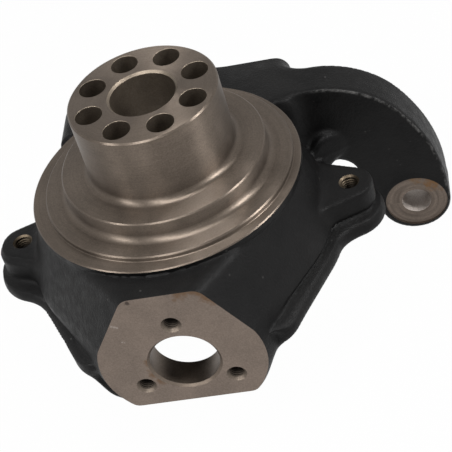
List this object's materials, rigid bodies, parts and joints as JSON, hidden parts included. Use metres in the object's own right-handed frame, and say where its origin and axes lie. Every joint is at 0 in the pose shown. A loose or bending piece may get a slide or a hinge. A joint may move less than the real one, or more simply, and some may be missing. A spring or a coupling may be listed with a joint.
{
  "type": "swivel housing",
  "caption": "Cast swivel housing for a driven steered axle: hollow spindle over a bell between two kingpin bosses, with stop screw ears and a bent steering arm.",
  "frame": {"origin": "where the kingpin axis crosses the spindle axis", "axes": "+Z along the spindle axis, outboard; Y along the kingpin axis with the steering arm on the +Y side; +X toward the side where the arm's eye is"},
  "size_m": [0.3289, 0.235, 0.2237],
  "materials": {
    "casting": "black primed casting with bare machined spindle, shoulders, kingpin faces and bores"
  },
  "bodies": {
    "root": {"swivel_housing": "casting"}
  },
  "joints": []
}
